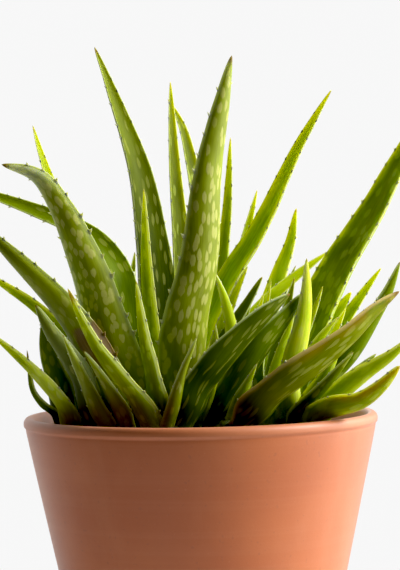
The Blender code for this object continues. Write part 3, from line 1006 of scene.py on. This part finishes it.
@dataclass
class Spine:
    """The run of a leaf from root to tip, read from its node's rings."""

    sections: list[Section]

    @classmethod
    def of(cls, node: bpy.types.Object) -> "Spine":
        """Reads a leaf's node.

        Args:
            node: the frame's leaf.

        Returns:
            Its spine.
        """
        numbers: dict[tuple[float, ...], int] = {}
        places = []
        for vertex in node.data.vertices:
            key = tuple(round(part, 7) for part in vertex.co)
            places.append(numbers.setdefault(key, len(numbers)))
        points = [Vector(key) for key in numbers]
        links: list[set[int]] = [set() for _ in points]
        for edge in node.data.edges:
            first, second = places[edge.vertices[0]], places[edge.vertices[1]]
            if first != second:
                links[first].add(second)
                links[second].add(first)
        for start in range(len(points)):
            layers = cls.layers(start, links)
            if len(layers) > 1 and all(len(layer) == RING_SIZE for layer in layers[1:]):
                return cls.read(points, layers)
        raise ValueError(f"{node.name} isn't a leaf of rings")

    @staticmethod
    def layers(start: int, links: Sequence[set[int]]) -> list[list[int]]:
        """Points by their number of steps from a start.

        Args:
            start: the first point.
            links: the neighbours of each point.

        Returns:
            The points of each number of steps.
        """
        seen = {start}
        found = [[start]]
        while found[-1]:
            following = {other for point in found[-1] for other in links[point]} - seen
            seen |= following
            found.append(sorted(following))
        return found[:-1]

    @classmethod
    def read(cls, points: Sequence[Vector], layers: Sequence[Sequence[int]]) -> "Spine":
        """Makes the spine from rings.

        Args:
            points: where the points are.
            layers: the tip, and then the rings from tip to root.

        Returns:
            The spine.
        """
        sections = []
        for layer in reversed(layers[1:]):
            ring = [points[i] for i in layer]
            pairs = [(a, b) for i, a in enumerate(ring) for b in ring[i + 1:]]
            right, left = max(pairs, key=lambda pair: (pair[0] - pair[1]).length)
            line = (right - left).normalized()
            centre = (right + left) / 2
            keel = max(ring, key=lambda p: ((p - centre) - line * (p - centre).dot(line)).length)
            rise = centre - keel
            rise -= line * rise.dot(line)
            middle = centre - rise * MARGIN_LIFT
            sections.append(Section(middle, rise.normalized(), (right - left).length / 2, rise.length))
        tip = points[layers[0][0]]
        sections.append(Section(tip, sections[-1].up, 0.0, 0.0))
        return cls(sections)

    @classmethod
    def through(cls, path: Sequence[Vector], width: float, facing: float) -> "Spine":
        """Makes a small leaf's spine from a few places.

        Args:
            path: the places from root to tip, in metres.
            width: its greatest width, in metres.
            facing: the bearing of its hollow face, in degrees.

        Returns:
            The spine.
        """
        toward = Vector((math.cos(math.radians(facing)), math.sin(math.radians(facing)), 0.4))
        sections = []
        last = len(path) - 1
        for i, place in enumerate(path):
            way = (path[min(last, i + 1)] - path[max(0, i - 1)]).normalized()
            up = (toward - way * toward.dot(way)).normalized()
            wide = width * (1.0 - i / last) ** 0.6 * (0.75 if i == 0 else 1.0)
            sections.append(Section(place, up, wide / 2, wide * 0.28))
        return cls(sections)

    def length(self) -> float:
        """Length of the leaf, in metres."""
        middles = [section.middle for section in self.sections]
        return sum((b - a).length for a, b in zip(middles, middles[1:]))

    def at(self, share: float, blunt: float) -> tuple[Vector, Vector, Vector, float, float]:
        """The leaf at a share of its length.

        Args:
            share: from 0 at the root to 1 at the tip. Below 0 the root runs straight on.
            blunt: how pointed the tip is, 1 for a straight taper and less for a round end.

        Returns:
            Its middle, the way to the tip, its up direction, its half width and its thickness.
        """
        last = len(self.sections) - 1
        place = max(0.0, min(1.0, share)) * last
        i = min(int(place), last - 1)
        t = place - i
        row = [self.sections[max(0, min(last, i + k))] for k in (-1, 0, 1, 2)]
        knots = [section.middle for section in row]
        if i == 0:
            knots[0] = knots[1] * 2 - knots[2]
        if i == last - 1:
            knots[3] = knots[2] * 2 - knots[1]
        middle, way = spline(knots, t)
        if share < 0:
            middle = middle + way.normalized() * (share * self.length())
        way = way.normalized()
        lean = row[1].up.lerp(row[2].up, t * t * (3 - 2 * t))
        up = (lean - way * lean.dot(way)).normalized()
        if i == last - 1:
            fade = (1 - t) ** blunt
            return middle, way, up, row[1].half * fade, row[1].thick * fade
        half = gentle([section.half for section in row], t)
        thick = gentle([section.thick for section in row], t)
        return middle, way, up, half, thick


def spline(knots: Sequence[Vector], t: float) -> tuple[Vector, Vector]:
    """A smooth curve through four points.

    Args:
        knots: the points. The curve runs from the second to the third.
        t: how far along that run, from 0 to 1.

    Returns:
        The point there and the curve's direction.
    """
    a, b, c, d = knots
    start, end = (c - a) / 2, (d - b) / 2
    first = 2 * b - 2 * c + start + end
    second = 3 * c - 3 * b - 2 * start - end
    return b + t * (start + t * (second + t * first)), start + t * (2 * second + t * 3 * first)


def gentle(values: Sequence[float], t: float) -> float:
    """A smooth value that never passes its two neighbours.

    Args:
        values: four values in a row. The result lies between the second and the third.
        t: how far between them, from 0 to 1.

    Returns:
        The value.
    """
    rises = [b - a for a, b in zip(values, values[1:])]
    slopes = []
    for before, after in zip(rises, rises[1:]):
        slopes.append(0.0 if before * after <= 0 else 2 * before * after / (before + after))
    start, end = slopes
    b, c = values[1], values[2]
    return b + t * (start + t * ((3 * (c - b) - 2 * start - end) + t * (2 * (b - c) + start + end)))


@dataclass
class Leaf:
    """One fleshy leaf with a hollow upper face, a rounded keel and toothed margins."""

    node: str
    look: LeafLook
    seed: int
    upper: Sequence[float] = (1.0, 0.86, 0.68, 0.46, 0.22, 0.0, -0.22, -0.46, -0.68, -0.86, -1.0)
    lower: Sequence[float] = (-1.0, -0.93, -0.8, -0.6, -0.34, 0.0, 0.34, 0.6, 0.8, 0.93, 1.0)
    keel: Point = (2.2, 0.62)
    edge_radius: float = 0.42 * MM
    ring_gap: float = 2.0 * MM
    fewest_rings: int = 34
    tip_crowding: float = 1.12
    least_tooth: float = 0.45
    root_dip: float = 3.0 * MM
    clasp: float = 0.75
    clasp_length: float = 30.0 * MM

    def section(self, half: float, thick: float) -> list[tuple[float, float, float]]:
        """The outline of the leaf cut across.

        Args:
            half: half its width, in metres.
            thick: its thickness, in metres.

        Returns:
            Points as (across, up, side), where side is 1 above and -1 below.
        """
        edge = min(self.edge_radius, 0.3 * half)
        flat = half - edge
        lift = MARGIN_LIFT * thick
        points = [(x * flat, lift * x * x + edge * x**4, 1.0) for x in self.upper]
        for angle, side in ((130, 0.5), (180, 0.0), (230, -0.5)):
            turn = math.radians(angle)
            points.append((-flat + edge * math.cos(turn), lift + edge * math.sin(turn), side))
        for x in self.lower:
            belly = (1 - abs(x) ** self.keel[0]) ** self.keel[1]
            points.append((x * flat, lift - thick * belly - edge * x**6, -1.0))
        for angle, side in ((-50, -0.5), (0, 0.0), (50, 0.5)):
            turn = math.radians(angle)
            points.append((flat + edge * math.cos(turn), lift + edge * math.sin(turn), side))
        return points

    def at(self, spine: Spine, share: float) -> tuple[Vector, Vector, Vector, float, float]:
        """The leaf at a share of its length, with a base broad enough to clasp the stem.

        Args:
            spine: the leaf's run.
            share: from 0 at the root to 1 at the tip.

        Returns:
            Its middle, the way to the tip, its up direction, its half width and its thickness.
        """
        middle, way, up, half, thick = spine.at(share, self.look.blunt)
        near = max(0.0, 1.0 - share * spine.length() / self.clasp_length)
        swell = 1.0 + self.clasp * near * near * (3 - 2 * near)
        return middle, way, up, half * swell, thick * swell

    def blade(self, shape: Shape, spine: Spine) -> None:
        """Adds the leaf's body.

        Args:
            shape: where it is added.
            spine: the leaf's run.
        """
        length = spine.length()
        count = max(self.fewest_rings, round(length / self.ring_gap))
        shares = [-self.root_dip / length]
        shares += [1 - (1 - i / count) ** self.tip_crowding for i in range(count)]
        rings = []
        for share in shares:
            middle, way, up, half, thick = self.at(spine, share)
            across = way.cross(up)
            ring = []
            for a, u, side in self.section(half, thick):
                wave = noise.noise(Vector((a / MM / 9, share * length / MM / 17, self.seed * 3.7)))
                u += wave * self.look.wave * MM * min(1.0, half / (6 * MM)) * min(1.0, share * 12 + 0.3)
                point = middle + across * a + up * u
                margin = (half - abs(a)) / MM
                ring.append(shape.add(point, place=(a / MM, share * length / MM, side),
                                      leaf=(share, margin, 0.0)))
            rings.append(ring)
        for first, second in zip(rings, rings[1:]):
            shape.bridge(first, second)
        middle = spine.sections[-1].middle
        tip = shape.add(middle, place=(0.0, length / MM, 0.0), leaf=(1.0, 0.0, 0.0))
        shape.fan(rings[-1], tip)
        shape.faces.append(tuple(rings[0]))

    def prickles(self, shape: Shape, spine: Spine) -> None:
        """Adds the teeth along both margins.

        Args:
            shape: where they are added.
            spine: the leaf's run.
        """
        if self.look.teeth <= 0:
            return
        length = spine.length() / MM
        chance = random.Random(self.seed * 31 + 7)
        for side in (1.0, -1.0):
            along = 5.0 + self.look.tooth_gap * chance.random()
            while along < 0.93 * length:
                share = along / length
                size = self.look.teeth * (0.8 + 0.5 * chance.random()) * (1.1 - 0.4 * share)
                self.prickle(shape, spine, share, side, size)
                along += self.look.tooth_gap * (0.65 + 0.7 * chance.random()) * (1.0 - 0.25 * share)

    def prickle(self, shape: Shape, spine: Spine, share: float, side: float, size: float) -> None:
        """Adds one tooth that leans towards the tip.

        Args:
            shape: where it is added.
            spine: the leaf's run.
            share: its place along the leaf.
            side: 1 for one margin and -1 for the other.
            size: how far it stands out, in millimetres.
        """
        middle, way, up, half, thick = self.at(spine, share)
        size = min(size, 0.45 * half / MM)
        if size < self.least_tooth:
            return
        out = way.cross(up) * side
        foot = middle + out * (half - 0.45 * MM) + up * thick * MARGIN_LIFT
        along = share * spine.length() / MM
        rings = []
        for reach, lean, long, wide, tooth in TOOTH_RINGS:
            centre = foot + out * (reach * size * MM + 0.25 * MM) + way * (lean * size * MM)
            ring = []
            for i in range(TOOTH_SIDES):
                turn = -TURN * i / TOOTH_SIDES * side
                offset = way * math.cos(turn) * long + up * math.sin(turn) * wide
                ring.append(shape.add(centre + offset * (0.45 + 0.45 * size) * MM,
                                      place=(half / MM * side, along, 0.0), leaf=(share, 0.0, tooth)))
            rings.append(ring)
        tip = shape.add(foot + out * (size + 0.3) * MM + way * 0.75 * size * MM,
                        place=(half / MM * side, along, 0.0), leaf=(share, 0.0, 1.0))
        for first, second in zip(rings, rings[1:]):
            shape.bridge(second, first)
        shape.fan(list(reversed(rings[-1])), tip)
        shape.faces.append(tuple(rings[0]))

    def made(self, name: str, spine: Spine) -> bpy.types.Object:
        """Makes the leaf along a spine.

        Args:
            name: the piece's name.
            spine: the leaf's run.

        Returns:
            The piece.
        """
        shape = Shape()
        self.blade(shape, spine)
        self.prickles(shape, spine)
        return shape.build(name, self.look.tone.value.dress(name, self.look, self.seed))

    def build(self) -> None:
        """Makes the leaf over its node."""
        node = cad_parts[self.node]
        leaf = self.made(self.node.replace("leaf", "blade"), Spine.of(node))
        settle(leaf, node.data.materials[0].name, self.node)


@dataclass(frozen=True)
class Shoot:
    """A small young leaf deep in the tuft. Sizes in millimetres, heights from the pot's rim."""

    path: tuple[tuple[float, float, float], ...]
    width: float
    facing: float
    tone: LeafTone

    def build(self, name: str, rim: float, seed: int) -> None:
        """Makes the shoot.

        Args:
            name: the piece's name.
            rim: the height of the rim.
            seed: what sets its pattern apart.
        """
        knots = [Vector((x, y, rim + z)) * MM for x, y, z in self.path]
        look = LeafLook(self.tone, 0.3, 0.35, 2.6, 7.0, teeth=0.8, tooth_gap=9.0)
        leaf = Leaf(name, look, seed).made(name, Spine.through(knots, self.width * MM, self.facing))
        slots = {LeafTone.DARK: "dark_leaf", LeafTone.OLIVE: "olive_leaf"}
        settle(leaf, slots.get(self.tone, "bright_leaf"))


SHOOTS: tuple[Shoot, ...] = (
    Shoot(((-35, -6, -2), (-36, 4, 36), (-38, 14, 68), (-36, 22, 92)), 10, -90, LeafTone.DARK),
    Shoot(((2, -20, -2), (9, -18, 37), (19, -15, 64), (28, -13, 83)), 10, -90, LeafTone.BRIGHT),
    Shoot(((24, -6, -10), (26, -6, 20), (31, -5, 48), (37, -3, 67)), 9, -90, LeafTone.BRIGHT),
    Shoot(((20, 6, -10), (21, 5, 22), (24, 4, 45), (30, 5, 63)), 9, -90, LeafTone.DARK),
    Shoot(((40, -20, -10), (41, -19, 18), (46, -17, 46), (54, -14, 76)), 14, -90, LeafTone.DARK),
    Shoot(((38, -30, -10), (40, -30, 12), (45, -28, 34), (53, -25, 56)), 13, 100, LeafTone.BRIGHT),
    Shoot(((62, -12, -10), (66, -9, 16), (73, -6, 38), (83, -3, 58)), 12, -80, LeafTone.BRIGHT),
    Shoot(((-58, -36, -10), (-60, -32, 12), (-65, -28, 34), (-72, -25, 52)), 13, 70, LeafTone.DARK),
    Shoot(((-22, 48, -10), (-25, 56, 16), (-30, 63, 42), (-38, 68, 66)), 14, -80, LeafTone.OLIVE),
    Shoot(((22, 56, -10), (24, 64, 12), (29, 73, 34), (36, 81, 54)), 13, -100, LeafTone.DARK),
    Shoot(((58, 42, -10), (66, 47, 10), (77, 51, 28), (88, 53, 48)), 13, -140, LeafTone.BRIGHT),
    Shoot(((-56, 12, -10), (-64, 18, 10), (-74, 24, 30), (-84, 28, 54)), 14, -40, LeafTone.DARK),
    Shoot(((-46, 32, -10), (-53, 39, 14), (-61, 46, 40), (-67, 51, 66)), 13, -50, LeafTone.BRIGHT),
)


T = LeafTone
LOOKS: dict[str, LeafLook] = {
    "leaf_front_left": LeafLook(T.BRIGHT, 0.35, 0.4, dry_tip=0.10, edge_width=1.3, teeth=1.3,
                                tone_and_painted_light=0.75),
    "leaf_front_upright": LeafLook(T.BRIGHT, 0.4, 0.4, 2.4, 6.0, edge_width=1.3, teeth=0.8, tone_and_painted_light=0.7),
    "leaf_front_short": LeafLook(T.OLIVE, 0.35, 0.5, teeth=0.7, spot_width=2.4, spot_length=6),
    "leaf_front_right_broad": LeafLook(T.DARK, 0.30, 0.30, 1.8, 11.0, edge_width=0.8, teeth=1.2, fresh=0.1,
                                       tone_and_painted_light=0.6),
    "leaf_left_long": LeafLook(T.OLIVE, 0.35, 0.4, teeth=2.1, withered=(0.30, 0.55), withered_side=-1.0),
    "leaf_left_low_short": LeafLook(T.OLIVE, 0.3, 0.4, teeth=0.9),
    "leaf_left_low_olive": LeafLook(T.OLIVE, 0.3, 0.4, teeth=0.9),
    "leaf_left_grey": LeafLook(T.GREY, 0.2, 0.4, blunt=0.6, teeth=1.2, tone_and_painted_light=0.9),
    "leaf_left_arched": LeafLook(T.BRIGHT, 0.3, 0.4, teeth=1.3),
    "leaf_left_shaded": LeafLook(T.DARK, 0.3, 0.4, blunt=0.7, teeth=1.2),
    "leaf_left_low_pale": LeafLook(T.PALE, 0.3, 0.4, teeth=1.0),
    "leaf_left_low_bent": LeafLook(T.DARK, 0.2, 0.3, teeth=0.6, dry_tip=0.12),
    "leaf_left_curled": LeafLook(T.OLIVE, 0.85, 1.0, 3.4, 6.5, tone_and_painted_light=1.25, teeth=2.4, tooth_gap=14,
                                 edge_width=1.2, wave=0.6, bleach_and_highlight=0.22),
    "leaf_left_behind": LeafLook(T.DARK, 0.25, 0.35, teeth=1.6),
    "leaf_far_left_thin": LeafLook(T.BRIGHT, 0.25, 0.3, teeth=0.9),
    "leaf_mid_left_short": LeafLook(T.DARK, 0.3, 0.5, teeth=1.2),
    "leaf_centre_tall": LeafLook(T.OLIVE, 0.75, 1.0, 3.0, 8.5, tone_and_painted_light=1.1, teeth=2.3, tooth_gap=16,
                                 edge_width=1.2, wave=0.5),
    "leaf_centre_left_upright": LeafLook(T.BRIGHT, 0.5, 0.6, 2.8, 8.0, teeth=0.8),
    "leaf_centre_right_dark": LeafLook(T.DARK, 0.4, 0.35, 2.2, 10.0, teeth=1.2, fresh=0.1),
    "leaf_centre_pale_edged": LeafLook(T.BRIGHT, 0.3, 0.4, edge_width=1.6, teeth=1.0),
    "leaf_centre_right_round": LeafLook(T.DARK, 0.3, 0.4, blunt=0.5, teeth=0.9),
    "leaf_centre_yellow": LeafLook(T.BRIGHT, 0.2, 0.3, teeth=0.7),
    "leaf_centre_small": LeafLook(T.BRIGHT, 0.2, 0.3, teeth=0.6),
    "leaf_front_right_long": LeafLook(T.RUSSET, 0.35, 0.35, 2.4, 12.0, teeth=1.2, edge_width=1.3, flush=0.4,
                                      dry_tip=0.05, fresh=0.0, tone_and_painted_light=1.5),
    "leaf_front_right_small": LeafLook(T.BRIGHT, 0.2, 0.3, teeth=0.6),
    "leaf_right_outer": LeafLook(T.DARK, 0.3, 0.4, teeth=1.2),
    "leaf_right_low_long": LeafLook(T.BRIGHT, 0.35, 0.4, teeth=1.1, edge_width=1.4),
    "leaf_right_lowest": LeafLook(T.BRIGHT, 0.35, 0.4, teeth=1.0, flush=0.55, blunt=0.5),
    "leaf_right_low_dark": LeafLook(T.DARK, 0.3, 0.4, teeth=0.9),
    "leaf_right_low_first": LeafLook(T.BRIGHT, 0.3, 0.4, teeth=0.9, blunt=0.6),
    "leaf_right_low_second": LeafLook(T.DARK, 0.3, 0.4, teeth=0.9),
    "leaf_right_bright_upright": LeafLook(T.PALE, 0.35, 0.3, edge_width=1.6, teeth=0.9, tone_and_painted_light=1.9),
    "leaf_right_small_tip": LeafLook(T.BRIGHT, 0.25, 0.3, teeth=0.8),
    "leaf_right_small_bright": LeafLook(T.PALE, 0.25, 0.3, teeth=0.7, tone_and_painted_light=1.6),
    "leaf_right_broad_spotted": LeafLook(T.BRIGHT, 0.6, 0.8, 4.0, 9.0, teeth=1.5, edge_width=1.4,
                                         tone_and_painted_light=1.0, fresh=0.2),
    "leaf_right_outer_thin": LeafLook(T.BRIGHT, 0.25, 0.3, teeth=0.9),
    "leaf_right_rounded": LeafLook(T.BRIGHT, 0.25, 0.3, teeth=0.9, blunt=0.5),
    "leaf_rear_pale": LeafLook(T.PALE, 0.4, 0.5, teeth=1.2, tone_and_painted_light=1.3),
    "leaf_rear_small": LeafLook(T.DARK, 0.3, 0.4, teeth=0.9),
    "leaf_rear_right_low": LeafLook(T.DARK, 0.5, 0.6, teeth=1.4),
    "leaf_back_slender": LeafLook(T.BRIGHT, 0.3, 0.35, 2.6, 9.0, teeth=0.9, tone_and_painted_light=0.32, fresh=0.2),
    "leaf_back_leaning": LeafLook(T.BRIGHT, 0.35, 0.4, 2.8, 9.0, teeth=1.1, tone_and_painted_light=0.32, fresh=0.2),
    "leaf_back_thin": LeafLook(T.BRIGHT, 0.2, 0.3, teeth=0.8),
    "leaf_right_diagonal_long": LeafLook(T.BRIGHT, 0.4, 0.35, 2.6, 9.0, teeth=1.0, fresh=0.6,
                                         tone_and_painted_light=1.8),
    "leaf_back_thin_short": LeafLook(T.BRIGHT, 0.25, 0.3, teeth=0.8),
    "leaf_back_left_tall": LeafLook(T.DARK, 0.35, 0.3, 2.4, 10.0, teeth=1.6, dry_tip=0.02, fresh=0.45,
                                    tone_and_painted_light=0.36),
    "leaf_back_right_bright": LeafLook(T.BRIGHT, 0.3, 0.4, teeth=1.0),
    "leaf_rear_left_low": LeafLook(T.OLIVE, 0.5, 0.6, teeth=1.4),
    "leaf_rear_middle_low": LeafLook(T.DARK, 0.5, 0.6, teeth=1.4),
}


# ---------------------------------------------------------------- studio


@dataclass(frozen=True)
class Glow:
    """A bright side of the room.

    It starts where a direction agrees with toward by start, is full by full, and adds strength.
    """

    toward: Colour
    start: float
    full: float
    strength: float


@dataclass(frozen=True)
class Studio:
    """Pale floor, soft light from the right and the camera. Lengths in metres, angles in degrees."""

    camera_place: Vector = Vector((0.0, -1.3, 0.28))
    aim: Vector = Vector((0.0011, 0.0, 0.2526))
    roll: float = -1.1
    lens: float = 145.3
    sensor: float = 36.0
    floor_radius: float = 0.62
    floor_drop: float = 0.0005
    backdrop: float = 0.935
    fill: float = 0.02
    broad: Glow = Glow((0.62, 0.70, 0.35), -0.35, 0.95, 0.60)
    window: Glow = Glow((0.93, 0.25, 0.27), 0.55, 0.98, 2.2)
    kicker: Glow = Glow((-0.60, 0.79, 0.10), 0.45, 1.0, 0.9)
    sun_colour: Colour = (1.0, 0.985, 0.96)
    sun_turn: float = 86.0
    sun_rise: float = 33.0
    sun_strength: float = 3.4
    sun_spread: float = 28.0
    black_level: float = 0.010

    def camera(self) -> None:
        """Sets the camera up."""
        data = bpy.data.cameras.new("camera")
        data.lens = self.lens
        data.sensor_width = self.sensor
        data.clip_start = 0.01
        obj = placed(bpy.data.objects.new("camera", data))
        obj.location = self.camera_place
        obj.rotation_mode = "QUATERNION"
        look = (self.aim - self.camera_place).to_track_quat("-Z", "Y")
        obj.rotation_quaternion = look @ Quaternion((0, 0, 1), math.radians(self.roll))
        bpy.context.scene.camera = obj

    def floor(self) -> None:
        """Lays the floor."""
        shape = bmesh.new()
        bmesh.ops.create_circle(shape, cap_ends=True, segments=128, radius=self.floor_radius)
        mesh = bpy.data.meshes.new("studio_floor")
        shape.to_mesh(mesh)
        shape.free()
        mesh.materials.append(StudioPaper().dress())
        floor = placed(bpy.data.objects.new("studio_floor", mesh))
        floor.location.z = -self.floor_drop

    def key(self) -> None:
        """Hangs the broad key light to the right."""
        data = bpy.data.lights.new("key", "SUN")
        data.energy = self.sun_strength
        data.angle = math.radians(self.sun_spread)
        data.color = self.sun_colour
        light = placed(bpy.data.objects.new("key", data))
        turn, rise = math.radians(self.sun_turn), math.radians(self.sun_rise)
        source = Vector((math.sin(turn) * math.cos(rise), -math.cos(turn) * math.cos(rise), math.sin(rise)))
        light.rotation_mode = "QUATERNION"
        light.rotation_quaternion = source.to_track_quat("Z", "Y")

    @staticmethod
    def lit(tree: bpy.types.NodeTree, glow: Glow) -> Wire:
        """The light that a bright side of the room sheds from each direction.

        Args:
            tree: the room's nodes.
            glow: the bright side.

        Returns:
            The strength.
        """
        place = tree.nodes.new("ShaderNodeTexCoord")
        lean = tree.nodes.new("ShaderNodeVectorMath")
        lean.operation = "DOT_PRODUCT"
        lean.inputs[1].default_value = glow.toward
        tree.links.new(place.outputs["Generated"], lean.inputs[0])
        return Wire(tree, lean.outputs["Value"]).step(glow.start, glow.full) * glow.strength

    def surroundings(self) -> None:
        """Fills the room: a pale even backdrop, and light that is stronger from behind and the right."""
        world = bpy.data.worlds.new("studio")
        bpy.context.scene.world = world
        world.use_nodes = True
        tree = world.node_tree
        tree.nodes.clear()
        light = self.lit(tree, self.broad) + self.lit(tree, self.window) + self.lit(tree, self.kicker)
        light = light + self.fill
        path = tree.nodes.new("ShaderNodeLightPath")
        seen = Wire(tree, path.outputs["Is Camera Ray"])
        strength = seen * self.backdrop + (1.0 - seen) * light
        paper = tree.nodes.new("ShaderNodeBackground")
        paper.inputs["Color"].default_value = (1.0, 1.0, 1.0, 1.0)
        tree.links.new(strength.socket, paper.inputs["Strength"])
        output = tree.nodes.new("ShaderNodeOutputWorld")
        tree.links.new(paper.outputs[0], output.inputs["Surface"])

    def build(self) -> None:
        """Sets up the studio."""
        self.camera()
        self.floor()
        self.key()
        self.surroundings()
        view = bpy.context.scene.view_settings
        view.view_transform = "Standard"
        view.use_curve_mapping = True
        view.curve_mapping.black_level = (self.black_level,) * 3
        view.curve_mapping.update()


def main() -> None:
    """Builds the plant and the studio round it."""
    logging.basicConfig(level=logging.INFO, format="%(name)s: %(message)s")
    Studio().build()
    pot = Pot()
    pot.build()
    SoilBed(pot).build()
    stem_skin = StemSkin().dress()
    for seed, node in enumerate(sorted(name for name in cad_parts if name.startswith("crown"))):
        Crown(node, seed).build(stem_skin)
    for seed, (node, look) in enumerate(LOOKS.items(), start=1):
        Leaf(node, look, seed).build()
    for seed, shoot in enumerate(SHOOTS, start=1):
        shoot.build(f"shoot_{seed:02d}", pot.height, SHOOT_SEEDS + seed)


if __name__ == "__main__":
    main()
